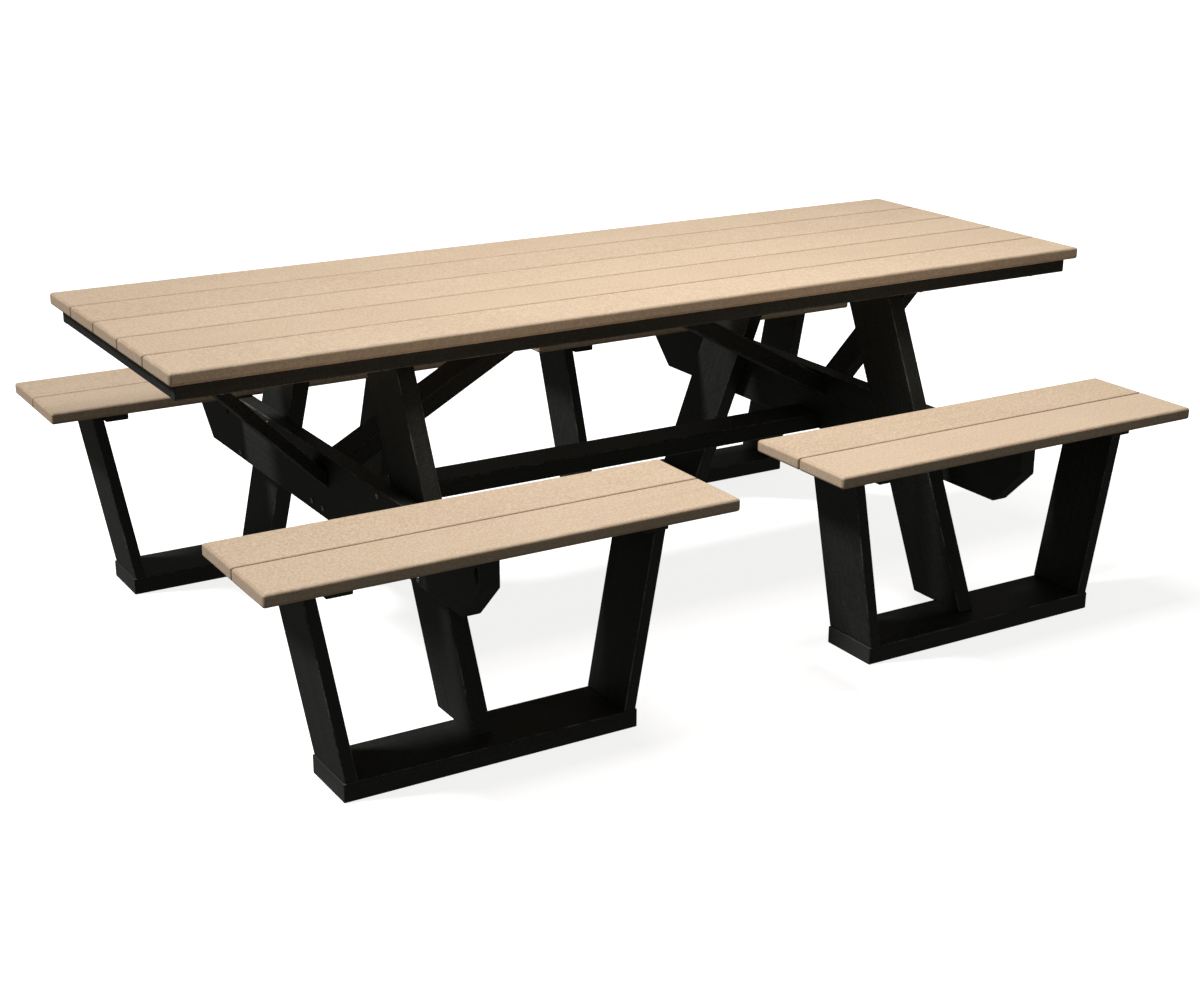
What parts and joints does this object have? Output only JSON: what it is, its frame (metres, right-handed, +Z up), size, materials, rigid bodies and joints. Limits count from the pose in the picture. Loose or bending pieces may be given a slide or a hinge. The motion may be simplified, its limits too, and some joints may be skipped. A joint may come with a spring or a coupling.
{
  "type": "picnic table",
  "caption": "Four-bench picnic table of plastic lumber: plank top on two braced A-frame trestles, with a two-plank bench on each side of each trestle.",
  "frame": {"origin": "on the ground, under the middle of the table top", "axes": "+X along the table, +Y across it towards the rear benches, +Z up"},
  "size_m": [2.134, 1.466, 0.744],
  "materials": {
    "tan_lumber": "satin, speckled and lightly grained plastic lumber in sand tan",
    "black_lumber": "matte, finely granular plastic lumber in charcoal black",
    "stainless_steel": "brushed stainless steel"
  },
  "bodies": {
    "root": {"top_board_1": "tan_lumber", "top_board_2": "tan_lumber", "top_board_3": "tan_lumber", "top_board_4": "tan_lumber", "top_board_5": "tan_lumber", "front_skirt": "black_lumber", "rear_skirt": "black_lumber", "left_skirt": "black_lumber", "right_skirt": "black_lumber", "left_end_cleat": "black_lumber", "right_end_cleat": "black_lumber", "left_trestle_cleat": "black_lumber", "right_trestle_cleat": "black_lumber", "left_middle_cleat": "black_lumber", "right_middle_cleat": "black_lumber", "left_seat_beam": "black_lumber", "right_seat_beam": "black_lumber", "stretcher": "black_lumber", "left_front_leg": "black_lumber", "left_rear_leg": "black_lumber", "right_front_leg": "black_lumber", "right_rear_leg": "black_lumber", "left_inner_brace": "black_lumber", "right_inner_brace": "black_lumber", "left_outer_brace": "black_lumber", "right_outer_brace": "black_lumber", "left_front_foot": "black_lumber", "left_rear_foot": "black_lumber", "right_front_foot": "black_lumber", "right_rear_foot": "black_lumber", "left_front_seat_outer_board": "tan_lumber", "left_front_seat_inner_board": "tan_lumber", "left_rear_seat_outer_board": "tan_lumber", "left_rear_seat_inner_board": "tan_lumber", "right_front_seat_outer_board": "tan_lumber", "right_front_seat_inner_board": "tan_lumber", "right_rear_seat_outer_board": "tan_lumber", "right_rear_seat_inner_board": "tan_lumber", "left_front_bench_end_leg": "black_lumber", "left_front_bench_middle_leg": "black_lumber", "left_rear_bench_end_leg": "black_lumber", "left_rear_bench_middle_leg": "black_lumber", "right_front_bench_end_leg": "black_lumber", "right_front_bench_middle_leg": "black_lumber", "right_rear_bench_end_leg": "black_lumber", "right_rear_bench_middle_leg": "black_lumber", "left_front_seat_cleats": "black_lumber", "left_rear_seat_cleats": "black_lumber", "right_front_seat_cleats": "black_lumber", "right_rear_seat_cleats": "black_lumber", "top_screws": "stainless_steel", "skirt_screws": "stainless_steel", "seat_screws": "stainless_steel", "beam_screws": "stainless_steel", "brace_screws": "stainless_steel", "stretcher_screws": "stainless_steel", "foot_screws": "stainless_steel", "leg_top_screws": "stainless_steel", "pocket_screws": "stainless_steel", "seat_cleat_screws": "stainless_steel"}
  },
  "joints": []
}
